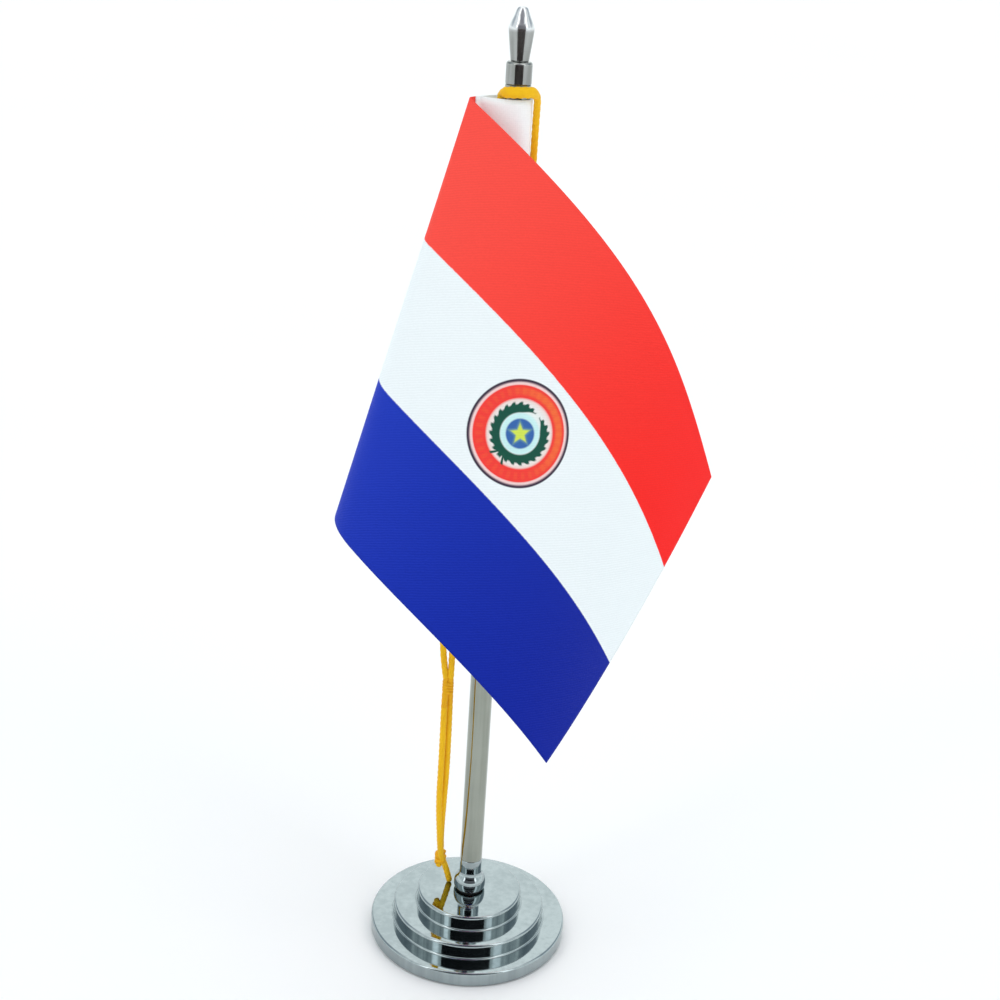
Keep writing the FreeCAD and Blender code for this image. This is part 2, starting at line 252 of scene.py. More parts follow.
# The emblem's own sizes are shares of its radius.
WREATH_INNER_R, WREATH_NOTCH_R, WREATH_LEAF_R = 0.385, 0.540, 0.582
LEAVES, LEAF_SLANT, WREATH_THINNER = 24.0, 26.0, 0.075
STEM_R0, STEM_R1, STEM_SLANT = 0.50, 0.66, 0.72
BEADS, BEAD_RING_R = 34.0, 0.775
STAR_POINT_R, STAR_NOTCH_R, STAR_TILT = 0.185, 0.085, 0.44
STAR_COLOUR, WREATH_COLOUR = (0.66, 0.78, 0.10), (0.012, 0.090, 0.060)
STAR_HALO = (0.25, 0.50, 0.30)
BEAD_COLOUR = (0.95, 0.20, 0.05)


def flag_print(g, uv):
    """Colour of the printed cloth: three bands and a plain round emblem with a star."""
    split = g.add("ShaderNodeSeparateXYZ", {0: uv})
    u, v = split.outputs[0], split.outputs[1]
    # painted light and shade: the bands go from lit at the seam to shaded at the free end
    along = g.ease(u, 0.0, LENGTH)
    red = g.mix(along, RED_LIT_LEFT, RED_SHADED_RIGHT)
    blue = g.mix(along, BLUE_LIT_LEFT, BLUE_SHADED_RIGHT)
    edge = g.math("MULTIPLY", g.noise(uv, 1.5, 2.0), 0.3)
    down = g.math("ADD", v, edge)
    band = HOIST / 3
    colour = g.mix(g.ease(down, band, band + 0.4), red, WHITE)
    colour = g.mix(g.ease(down, 2 * band, 2 * band + 0.4), colour, blue)

    x = g.math("DIVIDE", g.math("SUBTRACT", u, EMBLEM_AT[0]), EMBLEM_R)
    y = g.math("DIVIDE", g.math("SUBTRACT", EMBLEM_AT[1], v), EMBLEM_R)
    radius = g.math("SQRT", g.math("ADD", g.math("MULTIPLY", x, x), g.math("MULTIPLY", y, y)))
    angle = g.math("ARCTAN2", x, y)
    ramp = g.add("ShaderNodeValToRGB", {0: radius})
    stops = ramp.color_ramp.elements
    stops[0].position, stops[1].position = EMBLEM_RINGS[0][0], EMBLEM_RINGS[-1][0]
    stops[0].color, stops[1].color = (*EMBLEM_RINGS[0][1], 1.0), (*EMBLEM_RINGS[-1][1], 1.0)
    for place, ring in EMBLEM_RINGS[1:-1]:
        stops.new(place).color = (*ring, 1.0)
    emblem = ramp.outputs[0]

    # wreath: smooth inside, leafy outside, thinner and open at the top, two stems below
    aside = g.math("ABSOLUTE", angle)
    leaves = g.math("SINE", g.math("ADD", g.math("MULTIPLY", aside, LEAVES),
                                   g.math("MULTIPLY", radius, LEAF_SLANT)))
    thin = g.ease(aside, 0.05, 0.75, WREATH_THINNER, 0.0)
    leaf_edge = g.ease(leaves, -0.8, 0.9, WREATH_NOTCH_R, WREATH_LEAF_R)
    outer = g.math("SUBTRACT", leaf_edge, thin)
    inner = g.math("SUBTRACT", g.math("SUBTRACT", radius, WREATH_INNER_R), thin)
    leafy = g.math("MULTIPLY", g.ease(inner, -0.018, 0.018),
                   g.ease(g.math("SUBTRACT", radius, outer), -0.022, 0.022, 1.0, 0.0))
    leafy = g.math("MULTIPLY", leafy, g.ease(aside, 0.06, 0.16))
    slant = g.math("MULTIPLY", g.math("SUBTRACT", radius, STEM_R0), STEM_SLANT)
    stem_at = g.math("SUBTRACT", math.pi - 0.12, slant)
    stem = g.ease(g.math("ABSOLUTE", g.math("SUBTRACT", aside, stem_at)), 0.02, 0.06, 1.0, 0.0)
    stem_span = g.math("MULTIPLY", g.ease(radius, STEM_R0 - 0.02, STEM_R0 + 0.02),
                       g.ease(radius, STEM_R1 - 0.01, STEM_R1 + 0.02, 1.0, 0.0))
    stem = g.math("MULTIPLY", stem, stem_span)
    emblem = g.mix(g.math("MAXIMUM", leafy, stem), emblem, WREATH_COLOUR)

    # red ring: warmer toward the upper right, with faint beads
    beads = g.ease(g.math("SINE", g.math("MULTIPLY", angle, BEADS)), -0.8, 0.9, 0.0, 0.16)
    warm = g.ease(g.math("COSINE", g.math("SUBTRACT", angle, 0.5)), -0.2, 1.0, 0.0, 0.6)
    off_ring = g.math("ABSOLUTE", g.math("SUBTRACT", radius, BEAD_RING_R))
    near = g.ease(off_ring, 0.03, 0.10, 1.0, 0.0)
    emblem = g.mix(g.math("MULTIPLY", g.math("ADD", beads, warm), near), emblem, BEAD_COLOUR)

    # five-pointed star
    fifth = TURN / 5
    folded = g.math("ABSOLUTE", g.math("WRAP", g.math("SUBTRACT", angle, STAR_TILT),
                                       fifth / 2, -fifth / 2))
    star_x = g.math("MULTIPLY", radius, g.math("COSINE", folded))
    star_y = g.math("MULTIPLY", radius, g.math("SINE", folded))
    notch_x = STAR_NOTCH_R * math.cos(fifth / 2)
    notch_y = STAR_NOTCH_R * math.sin(fifth / 2)
    edge_len = math.hypot(STAR_POINT_R - notch_x, notch_y)
    out = g.math("ADD",
                 g.math("MULTIPLY", g.math("SUBTRACT", star_x, STAR_POINT_R), notch_y / edge_len),
                 g.math("MULTIPLY", star_y, (STAR_POINT_R - notch_x) / edge_len))
    emblem = g.mix(g.ease(out, 0.0, 0.060, 0.45, 0.0), emblem, STAR_HALO)
    emblem = g.mix(g.ease(out, -0.016, 0.020, 1.0, 0.0), emblem, STAR_COLOUR)
    return g.mix(g.ease(radius, 0.985, 1.01), emblem, colour)


def printed_satin():
    material, g, _, uv = new_material("printed_satin")
    ribs = twill(g, uv)
    grain = g.noise(uv, 1.4, 4.0)
    colour = flag_print(g, uv)
    shade = g.ease(g.math("ADD", g.math("MULTIPLY", ribs, 0.2), grain), 0.2, 0.8, 0.0, 0.05)
    g.surface(
        Base_Color=g.mix(shade, colour, (0.02, 0.02, 0.03)),
        Roughness=g.ease(grain, 0.3, 0.7, 0.60, 0.72),
        Specular_IOR_Level=0.10,
        Sheen_Weight=0.02,
        Sheen_Roughness=0.5,
        Normal=g.bump(g.math("ADD", g.math("MULTIPLY", ribs, 0.5), grain), 0.2, 0.0001),
    )
    return material


def golden(name, light, dark):
    """Satin cord: fine raised fibres that follow the strands, over patches of two tones."""
    material, g, place, uv = new_material(name)
    split = g.add("ShaderNodeSeparateXYZ", {0: uv})
    fibres = g.math("SINE", g.math("ADD", g.math("MULTIPLY", split.outputs[1],
                                                    FIBRES_A_STRAND * TURN),
                                   g.math("MULTIPLY", split.outputs[0], 1.5)))
    patches = g.noise(place, 160.0, 4.0)
    tone = g.math("ADD", g.math("MULTIPLY", fibres, 0.12), patches)
    g.surface(
        Base_Color=g.mix(tone, dark, light),
        Roughness=0.6,
        Specular_IOR_Level=0.2,
        Sheen_Weight=0.06,
        Normal=g.bump(fibres, 0.3, 0.0001),
    )
    return material


CHROME = chrome("chrome", (0.38, 0.435, 0.445), (0.31, 0.36, 0.37), 0.06)
TUBE_CHROME = chrome("tube_chrome", (0.345, 0.365, 0.32), (0.27, 0.29, 0.25), 0.09)
# painted shade and highlight: darker copy of the chrome for collar and finial, bright nose
FINIAL_CHROME = chrome("finial_chrome", (0.44, 0.45, 0.44), (0.25, 0.26, 0.245), 0.15,
                       (0.85, 0.86, 0.90))
STEEL = steel()
FELT = dull("black_felt", (0.06, 0.06, 0.065), (0.02, 0.02, 0.022), 1500.0, 0.0004)
RUBBER = dull("black_rubber", (0.035, 0.035, 0.035), (0.02, 0.02, 0.02), 700.0, 0.0001)
CANVAS = canvas()
PRINT = printed_satin()
THREAD = dull("sewing_thread", (0.90, 0.90, 0.88), (0.70, 0.70, 0.70), 900.0, 0.0001)
GOLD = golden("golden_cord", (0.99, 0.60, 0.008), (0.86, 0.44, 0.003))
# painted shade: the knots use a darker copy of the cord's gold
KNOT_GOLD_SHADED = golden("golden_knot", (0.95, 0.50, 0.006), (0.76, 0.34, 0.002))
for node, material in (("base_pad", FELT), ("base_screw", STEEL), ("base_washer", STEEL),
                       ("foot_washer", RUBBER), ("pole_top_plug", STEEL),
                       ("finial_stud", STEEL)):
    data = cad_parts[node].data
    data.materials.clear()
    data.materials.append(material)


# ---- mesh helpers -----------------------------------------------------------------------
LATHE_SEGMENTS, BEVEL_STEPS, FLOW_STEPS = 160, 5, 6
GUARD = 0.05


def make_piece(name, points, faces, material, body, node, uvs=None):
    """A mesh from points in mm that stands for a CAD node and rides on its body."""
    mesh = bpy.data.meshes.new(name)
    mesh.from_pydata([Vector(p) * MM for p in points], [], faces)
    if uvs:
        layer = mesh.uv_layers.new(name="flat_mm")
        for loop in mesh.loops:
            layer.data[loop.index].uv = uvs[loop.vertex_index]
    mesh.materials.append(material)
    mesh.update()
    work = bmesh.new()
    work.from_mesh(mesh)
    bmesh.ops.recalc_face_normals(work, faces=work.faces)
    work.to_mesh(mesh)
    work.free()
    mesh.shade_smooth()
    piece = bpy.data.objects.new(name, mesh)
    scene.collection.objects.link(piece)
    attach(piece, body)
    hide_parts(node)
    return piece


def rounded(corners):
    """Closed (radius, height) profile from (radius, height, bevel) corners. Guard points
    beside each corner keep the flats flat under smooth shading."""
    profile = []
    for k, (r, z, bevel) in enumerate(corners):
        here = Vector((r, z))
        before = Vector(corners[k - 1][:2]) - here
        after = Vector(corners[(k + 1) % len(corners)][:2]) - here
        before_len, after_len = before.length, after.length
        before.normalize()
        after.normalize()
        if bevel == 0:
            profile.append(here + before * min(GUARD, before_len / 3))
            profile.append(here)
            profile.append(here + after * min(GUARD, after_len / 3))
            continue
        half = before.angle(after) / 2
        trim = bevel / math.tan(half)
        middle = here + (before + after).normalized() * (bevel / math.sin(half))
        first, last = here + before * trim, here + after * trim
        profile.append(first + before * GUARD)
        for i in range(BEVEL_STEPS + 1):
            spoke = (first - middle).lerp(last - middle, i / BEVEL_STEPS).normalized()
            profile.append(middle + spoke * bevel)
        profile.append(last + after * GUARD)
    return [(p.x, p.y) for p in profile]


def flowing(points):
    """Smooth open (radius, height) line through the points."""
    line = []
    padded = [points[0], *points, points[-1]]
    for a, b, c, d in zip(padded, padded[1:], padded[2:], padded[3:]):
        a, b, c, d = Vector(a), Vector(b), Vector(c), Vector(d)
        for i in range(FLOW_STEPS):
            t = i / FLOW_STEPS
            p = 0.5 * (2 * b + (c - a) * t + (2 * a - 5 * b + 4 * c - d) * t ** 2
                       + (3 * b - 3 * c + d - a) * t ** 3)
            line.append((p.x, p.y))
    line.append(tuple(points[-1]))
    return line


def lathe(name, profile, material, body, node):
    """Turned chromed piece: the closed profile carried round the pole's axis."""
    points, faces = [], []
    count = len(profile)
    for i in range(LATHE_SEGMENTS):
        angle = TURN * i / LATHE_SEGMENTS
        for r, z in profile:
            points.append((r * math.sin(angle), -r * math.cos(angle), z))
    for i in range(LATHE_SEGMENTS):
        j = (i + 1) % LATHE_SEGMENTS
        for k in range(count):
            n = (k + 1) % count
            faces.append((i * count + k, j * count + k, j * count + n, i * count + n))
    return make_piece(name, points, faces, material, body, node)


# ---- base -------------------------------------------------------------------------------
recess_top = TIER_Z[0] + PAD_RECESS
lathe("base_lower", rounded([
    (SCREW_HOLE_R, HEAD_POCKET_TOP, 0), (HEAD_POCKET_R, HEAD_POCKET_TOP, 0),
    (HEAD_POCKET_R, recess_top, 0), (PAD_R + 0.2, recess_top, 0),
    (PAD_R + 0.2, TIER_Z[0], 0.1), (TIER_R[0], TIER_Z[0], LOW_EDGE_R),
    (TIER_R[0], TIER_Z[1], TOP_EDGE_R), (SCREW_HOLE_R, TIER_Z[1], 0),
]), CHROME, "base", "base_disc_lower")
COVE_LIP = 0.01
for name, node, radius, z0, z1 in (
        ("base_middle", "base_disc_middle", TIER_R[1], TIER_Z[1], TIER_Z[2]),
        ("base_upper", "base_disc_upper", TIER_R[2], TIER_Z[2], TIER_Z[3])):
    lip = z0 + COVE_LIP
    lathe(name, rounded([(SCREW_HOLE_R, z0, 0), (radius + COVE_R, z0, 0),
                         (radius + COVE_R, lip, 0), (radius, lip, COVE_R - GUARD),
                         (radius, z1, TOP_EDGE_R), (SCREW_HOLE_R, z1, 0)]),
          CHROME, "base", node)

# ---- pole -------------------------------------------------------------------------------
CENTRE_HOLE_R, FIT = 0.4, 0.01
flare = flowing([(5.3, FOOT_Z), (5.55, 18.45), (5.7, 18.8), (5.8, 19.8), (5.75, 21.0),
                 (5.5, 22.1), (5.0, 23.1), (4.4, 24.0), (4.1, 24.7), (POLE_R, 25.5),
                 (POLE_R, 27.0), (POLE_R, TUBE_Z0 - 0.2)])
foot_profile = ([(FOOT_BORE_R, FOOT_Z), (4.9, FOOT_Z), (5.2, FOOT_Z)] + flare
                + [(POLE_R - 0.07, TUBE_Z0 - 0.06), (POLE_R - 0.2, TUBE_Z0),
                   (TUBE_BORE_R, TUBE_Z0), (TUBE_BORE_R - FIT, SPIGOT_TOP),
                   (CENTRE_HOLE_R, SPIGOT_TOP), (CENTRE_HOLE_R, FOOT_BORE_TOP),
                   (FOOT_BORE_R, FOOT_BORE_TOP)])
lathe("foot", foot_profile, CHROME, "pole", "pole_foot")
lathe("tube", rounded([(TUBE_BORE_R + FIT, TUBE_Z0, 0), (POLE_R, TUBE_Z0, 0.15),
                       (POLE_R, TUBE_Z1, 0.2), (TUBE_BORE_R + FIT, TUBE_Z1, 0)]),
      TUBE_CHROME, "pole", "pole_tube")

# ---- collar and finial ------------------------------------------------------------------
lathe("collar", rounded([(STUD_BORE_R, COLLAR_Z0, 0), (COLLAR_R, COLLAR_Z0, 0.25),
                         (COLLAR_R, COLLAR_Z1, 0.9), (STUD_BORE_R, COLLAR_Z1, 0)]),
      FINIAL_CHROME, "finial_collar", "finial_collar")
finial_line = flowing([(2.70, FINIAL_Z0), (2.84, 319.0), (2.94, 319.8), (3.16, 321.4),
                       (3.44, 323.6), (3.70, 325.8), (3.89, 327.4), (3.94, 328.1),
                       (3.86, 328.8), (3.52, 329.8), (3.04, 330.9), (2.64, 331.8),
                       (2.24, 332.8), (1.90, 333.6), (1.55, 334.2), (1.10, 334.58),
                       (0.5, 334.77), (0.02, TIP_Z)])
lathe("finial", [(STUD_R, STUD_TOP), (STUD_R, FINIAL_Z0)] + finial_line + [(0.02, STUD_TOP)],
      FINIAL_CHROME, "finial", "finial_tip")


# ---- flag cloth: bent without stretching, as in the part --------------------------------
def turned_about(vector, axis, angle):
    return (vector * math.cos(angle) + axis.cross(vector) * math.sin(angle)
            + axis * (axis.dot(vector) * (1 - math.cos(angle))))


APEX = Vector((SEAM_X, SEAM_Y, SLEEVE_TOP + APEX_RISE))
DOWN = Vector((0, 0, -1))
OUTWARD = Vector((-math.cos(BACK_HEADING), -math.sin(BACK_HEADING), 0))


def direction(angle):
    return DOWN * math.cos(angle) + OUTWARD * math.sin(angle)


FIRST, FIRST_SIDE = direction(BACK_END), direction(BACK_END + math.pi / 2)
FIRST_NORMAL = FIRST.cross(FIRST_SIDE)
CONE_AXIS = FIRST * math.cos(CONE_HALF) - FIRST_NORMAL * math.sin(CONE_HALF)
CONE_TURN = -(BEND_END - BACK_END) / math.sin(CONE_HALF)
LAST = turned_about(FIRST, CONE_AXIS, CONE_TURN)
LAST_SIDE = turned_about(FIRST_SIDE, CONE_AXIS, CONE_TURN)
LAST_NORMAL = turned_about(FIRST_NORMAL, CONE_AXIS, CONE_TURN)
CURL_STEPS, CURL_REACH = 400, 1.05 * (LENGTH + HOIST)
curl_path = [(0.0, 0.0)]
for k in range(CURL_STEPS):
    part_way = CURL_REACH * (k + 0.5) / CURL_STEPS / 100
    heading = sum(c * part_way ** (i + 1) for i, c in enumerate(CURL))
    step = CURL_REACH / CURL_STEPS
    last_x, last_y = curl_path[-1]
    curl_path.append((last_x + step * math.cos(heading), last_y + step * math.sin(heading)))


def cloth_point(u, v):
    """Middle of the cloth, u mm from the seam and v mm below the top edge."""
    v += APEX_RISE
    rho, angle = math.hypot(u, v), math.atan2(u, v)
    if angle <= BACK_END:
        return APEX + direction(angle) * rho
    if angle <= BEND_END:
        share = (angle - BACK_END) / (BEND_END - BACK_END)
        return APEX + turned_about(FIRST, CONE_AXIS, CONE_TURN * share) * rho
    along = u * math.sin(BEND_END) + v * math.cos(BEND_END)
    k = (u * math.cos(BEND_END) - v * math.sin(BEND_END)) / CURL_REACH * CURL_STEPS
    k0 = min(int(k), CURL_STEPS - 1)
    (x0, y0), (x1, y1) = curl_path[k0], curl_path[k0 + 1]
    x, y = x0 + (x1 - x0) * (k - k0), y0 + (y1 - y0) * (k - k0)
    return APEX + LAST * along + LAST_SIDE * x + LAST_NORMAL * y


def cloth_normal(u, v):
    e = 0.5
    low_u, high_u = max(u - e, 0.0), min(u + e, LENGTH)
    low_v, high_v = max(v - e, 0.0), min(v + e, HOIST)
    du = cloth_point(high_u, v) - cloth_point(low_u, v)
    dv = cloth_point(u, high_v) - cloth_point(u, low_v)
    return du.cross(dv).normalized()


CLOTH_HALF, CLOTH_COLUMNS, CLOTH_ROWS, CROWDING = 0.14, 200, 132, 1.15
RIPPLE, RIPPLE_FREE_FROM = 0.22, 40


def cloth_ripple(u, v):
    """Slight slack of the free cloth, none at the seam."""
    free = min(1.0, u / RIPPLE_FREE_FROM)
    along, down = u / 17 + 0.6 * math.sin(v / 31), v / 23 + 1.1
    return RIPPLE * free * math.sin(along) * math.sin(down)


def cloth_sheet():
    """Front and back skins a thread apart, joined round the cut edge. The mesh is finer
    toward the seam's upper corner, where the cloth bends most."""
    columns, rows = CLOTH_COLUMNS, CLOTH_ROWS
    points, uvs, faces = [], [], []
    for side in (1, -1):
        for row in range(rows + 1):
            v = HOIST * (row / rows) ** CROWDING
            for column in range(columns + 1):
                u = LENGTH * (column / columns) ** CROWDING
                normal = cloth_normal(u, v)
                offset = side * CLOTH_HALF + cloth_ripple(u, v)
                points.append(cloth_point(u, v) + normal * offset)
                uvs.append((u, v))
    width = columns + 1
    skin = width * (rows + 1)
    for base in (0, skin):
        for row in range(rows):
            for column in range(columns):
                a = base + row * width + column
                faces.append((a, a + 1, a + width + 1, a + width))
    rim = list(range(columns))
    rim += [row * width + columns for row in range(rows)]
    rim += [rows * width + k for k in range(columns, 0, -1)]
    rim += [row * width for row in range(rows, 0, -1)]
    for a, b in zip(rim, rim[1:] + rim[:1]):
        faces.append((a, b, b + skin, a + skin))
    return make_piece("cloth", points, faces, PRINT, "flag", "flag_cloth", uvs)


cloth = cloth_sheet()


# ---- sleeve -----------------------------------------------------------------------------
SIDE_STEPS, ROUND_STEPS, SLEEVE_ROWS = 28, 32, 60
LINING_GAP, SLACK, END_SLACK, END_HEIGHT = 0.05, 0.12, 0.55, 20


def pocket_half(s):
    """Half the pocket's width, s mm from the pole's axis toward the seam."""
    return POCKET_R * max(0.0, 1 - (s / POCKET_LEN) ** 2) ** 0.9


def sleeve_line(wall):
    """The canvas seen from above, from the seam round the pole and back to the seam."""
    line = []
    for k in range(SIDE_STEPS):
        s = -SEAM_X * (1 - k / SIDE_STEPS)
        line.append(Vector((-s, SEAM_Y * (s / -SEAM_X) ** 3 + pocket_half(s) + wall)))
    for k in range(ROUND_STEPS + 1):
        angle = math.pi * (0.5 - k / ROUND_STEPS)
        reach = POCKET_R + wall
        line.append(Vector((reach * math.cos(angle), reach * math.sin(angle))))
    for k in range(1, SIDE_STEPS + 1):
        s = -SEAM_X * k / SIDE_STEPS
        line.append(Vector((-s, SEAM_Y * (s / -SEAM_X) ** 3 - pocket_half(s) - wall)))
    return line


def sleeve_piece():
    """Canvas strip folded round the pole, a little slack between pole and seam, and more
    open at its lower end, where the cord leaves it. Returns the piece and its flat width."""
    outer, inner = sleeve_line(CANVAS_T), sleeve_line(LINING_GAP)
    flat = [0.0]
    for a, b in zip(outer, outer[1:]):
        flat.append(flat[-1] + (b - a).length)
    rows, count = SLEEVE_ROWS, len(outer)
    points, uvs, faces = [], [], []
    for line in (outer, inner):
        for row in range(rows + 1):
            z = SLEEVE_TOP - HOIST * row / rows
            for k, (x, y) in enumerate(line):
                loose = math.sin(math.pi * min(1.0, -min(x, 0) / -SEAM_X)) ** 2
                wave = SLACK + SLACK * math.sin(z / 9.0 + 2.0 * math.sin(z / 23.0))
                open_end = END_SLACK * max(0.0, 1 - (z - SLEEVE_TOP + HOIST) / END_HEIGHT)
                slack = loose * (wave + open_end)
                points.append((x, y + (slack if y > 0 else -slack), z))
                uvs.append((flat[k], SLEEVE_TOP - z))
    skin = count * (rows + 1)
    for base in (0, skin):
        for row in range(rows):
            for k in range(count - 1):
                a = base + row * count + k
                faces.append((a, a + 1, a + count + 1, a + count))
    for row in (0, rows):
        for k in range(count - 1):
            a = row * count + k
            faces.append((a, a + 1, a + 1 + skin, a + skin))
    for k in (0, count - 1):
        for row in range(rows):
            a = row * count + k
            faces.append((a, a + count, a + count + skin, a + skin))
    piece = make_piece("sleeve", points, faces, CANVAS, "flag", "flag_sleeve", uvs)
    return piece, flat[-1]


sleeve, sleeve_width = sleeve_piece()


# ---- swept threads and cords ------------------------------------------------------------
def spline_points(route):
    """Points along the NURBS curve that the route's points steer, in mm."""
    data = bpy.data.curves.new("route", "CURVE")
    data.dimensions = "3D"
    spline = data.splines.new("NURBS")
    spline.points.add(len(route) - 1)
    for point, place in zip(spline.points, route):
        point.co = (*(c * MM for c in place), 1.0)
    spline.order_u = 3
    spline.use_endpoint_u = True
    spline.resolution_u = 32
    holder = bpy.data.objects.new("route", data)
    mesh = bpy.data.meshes.new_from_object(holder)
    points = [v.co / MM for v in mesh.vertices]
    bpy.data.objects.remove(holder)
    bpy.data.curves.remove(data)
    bpy.data.meshes.remove(mesh)
    return points


def spaced(points, gap):
    """The same line at even gaps."""
    lengths = [0.0]
    for a, b in zip(points, points[1:]):
        lengths.append(lengths[-1] + (b - a).length)
    count = max(4, round(lengths[-1] / gap))
    line, k = [], 0
    for i in range(count + 1):
        target = lengths[-1] * i / count
        while k < len(points) - 2 and lengths[k + 1] < target:
            k += 1
        span = max(lengths[k + 1] - lengths[k], 1e-9)
        line.append(points[k].lerp(points[k + 1], (target - lengths[k]) / span))
    return line, lengths[-1]


FURROW = 0.12
CORD_STRANDS, CORD_PITCH = 3, 6.5


def sweep(line, radius, lobes, pitch, sides=24, gap=0.45, tall=None):
    """Rope of twisted strands along the line: a lobed ring that turns once every pitch and
    closes round at both ends. FURROW is a share of the radius. tall(point) says how much
    taller the ring is at that point."""
    line, length = spaced(line, gap)
    points, uvs, faces = [], [], []
    tangent = (line[1] - line[0]).normalized()
    side = tangent.orthogonal().normalized()
    last = len(line) - 1
    for i, centre in enumerate(line):
        ahead = (line[min(i + 1, last)] - line[max(i - 1, 0)]).normalized()
        side = (side - ahead * side.dot(ahead)).normalized()
        other = ahead.cross(side)
        travelled = length * i / last
        end = min(travelled, length - travelled)
        close = math.sqrt(max(0.0, 1 - (1 - min(1.0, end / (0.9 * radius) + 0.05)) ** 2))
        for j in range(sides):
            angle = TURN * j / sides
            lobe = abs(math.cos(lobes / 2 * (angle - TURN * travelled / pitch)))
            reach = radius * close * (1 - FURROW + FURROW * lobe)
            offset = side * (reach * math.cos(angle)) + other * (reach * math.sin(angle))
            if tall:
                offset.z *= tall(centre)
            points.append(centre + offset)
            uvs.append((travelled, angle * lobes / TURN - lobes * travelled / pitch))
    for i in range(last):
        for j in range(sides):
            n = (j + 1) % sides
            faces.append((i * sides + j, i * sides + n, (i + 1) * sides + n,
                          (i + 1) * sides + j))
    faces.append(tuple(range(sides)))
    faces.append(tuple(last * sides + j for j in range(sides)))
    return points, faces, uvs


def joined(sweeps):
    """Several swept shapes as one list of points, faces and flat coordinates."""
    points, faces, uvs = [], [], []
    for more_points, more_faces, more_uvs in sweeps:
        start = len(points)
        points += more_points
        uvs += more_uvs
        faces += [tuple(start + k for k in face) for face in more_faces]
    return points, faces, uvs


# ---- seam stitching ---------------------------------------------------------------------
SEAM_IN, SEAM_FORWARD, FIRST_STITCH, UNSTITCHED = 0.9, 0.45, 4, 6
THREAD_R, THREAD_PITCH, STITCH_DIP, STITCH_STEPS = 0.22, 1.2, 0.45, 8


def stitching():
    """A row of stitches on each side of the seam, each dipping into the canvas at its ends."""
    seam = Vector((SEAM_X + SEAM_IN, SEAM_Y + SEAM_FORWARD, 0))
    half = CANVAS_T + 0.12
    shapes = []
    for k in range(int((HOIST - UNSTITCHED) / STITCH_PITCH)):
        z = SLEEVE_TOP - HOIST + FIRST_STITCH + STITCH_PITCH * k
        for side in (1, -1):
            line = []
            for i in range(STITCH_STEPS + 1):
                t = i / STITCH_STEPS
                dip = STITCH_DIP * (2 * t - 1) ** 4
                line.append(seam + Vector((0, side * (half - dip), z + STITCH_LEN * t)))
            shapes.append(sweep(line, THREAD_R, 2, THREAD_PITCH, sides=10, gap=0.2))
    points, faces, uvs = joined(shapes)
    return make_piece("stitches", points, faces, THREAD, "flag", "seam_stitching",
                      uvs)


stitches = stitching()


# ---- cord -------------------------------------------------------------------------------
CROSSING_Z, CROSSING_BLEND, CROSSING_TALLER = 309.1, 0.6, 0.55
STRAND_PAST_END = 0.15
UPPER_COIL = {"reach": (1.45, 0.95), "half_height": 2.3, "turns": 4, "radius": 0.62}
LOWER_COIL = {"reach": (1.25, 1.35), "half_height": 2.2, "turns": 2.6, "radius": 0.95}


def pressed(point):
    """The cord is pulled flat where it crosses the pole, so it is taller there."""
    share = min(1.0, max(0.0, (point.z - CROSSING_Z) / CROSSING_BLEND))
    return 1 + CROSSING_TALLER * share * share * (3 - 2 * share)


def cord_piece(name, route, node):
    """A cord along the route, and its centreline in metres."""
    line = spline_points(route)
    points, faces, uvs = sweep(line, CORD_D / 2, CORD_STRANDS, CORD_PITCH, tall=pressed)
    piece = make_piece(name, points, faces, GOLD, "pole", node, uvs)
    return piece, [p * MM for p in line]


def strand(start, end):
    """Straight cord that runs a little past both of its ends."""
    steps = 12
    share = 1 + 2 * STRAND_PAST_END
    line = [start.lerp(end, share * i / steps - STRAND_PAST_END) for i in range(steps + 1)]
    return sweep(line, CORD_D / 2, CORD_STRANDS, CORD_PITCH, sides=20, gap=0.4)


def coil(centre, reach, half_height, turns, radius):
    """Cord wound round the strands from the top down, an oval reach[0] by reach[1]."""
    steps = 120
    line = []
    for i in range(steps + 1):
        t = i / steps
        angle = TURN * turns * t
        line.append(centre + Vector((reach[0] * math.cos(angle), reach[1] * math.sin(angle),
                                     half_height * (1 - 2 * t))))
    return sweep(line, radius, CORD_STRANDS, CORD_PITCH, sides=20, gap=0.3)


def upper_knot_piece():
    """A coil round the place where the loop's two ends go on as the two tails."""
    starts, ends = (LOOP_ROUTE[0], LOOP_ROUTE[-1]), (TAIL_LEFT_ROUTE[0], TAIL_RIGHT_ROUTE[0])
    shapes = [strand(Vector(a), Vector(b)) for a, b in zip(starts, ends)]
    shapes.append(coil(UPPER_KNOT + Vector((0, 0, 2.2)), **UPPER_COIL))
    points, faces, uvs = joined(shapes)
    return make_piece("upper_knot", points, faces, KNOT_GOLD_SHADED, "pole", "cord_knot_upper",
                      uvs)


def lower_knot_piece():
    """A coil that grips the two tails where they cross."""
    points, faces, uvs = coil(LOWER_KNOT + Vector((-0.3, 0.2, 0.3)), **LOWER_COIL)
    return make_piece("lower_knot", points, faces, KNOT_GOLD_SHADED, "pole", "cord_knot_lower",
                      uvs)


loop, loop_path = cord_piece("loop", LOOP_ROUTE, "cord_loop")
# The left tail's end rests on the top disc.
resting_end = (*TAIL_LEFT_ROUTE[-1][:2], TIER_Z[3] + 0.1)
tail_left, tail_left_path = cord_piece("tail_left", (*TAIL_LEFT_ROUTE[:-1], resting_end),
                                       "cord_tail_left")
tail_right, tail_right_path = cord_piece("tail_right", TAIL_RIGHT_ROUTE, "cord_tail_right")
upper_knot = upper_knot_piece()
lower_knot = lower_knot_piece()


# ---- floor ------------------------------------------------------------------------------
FRONT_EDGE, BACK_EDGE, SIDE_EDGE = -3.5, 4.5, 3.0
BOARD_LEFT, BOARD_RIGHT, BOARD_STEPS = math.radians(-36.0), math.radians(38.0), 16


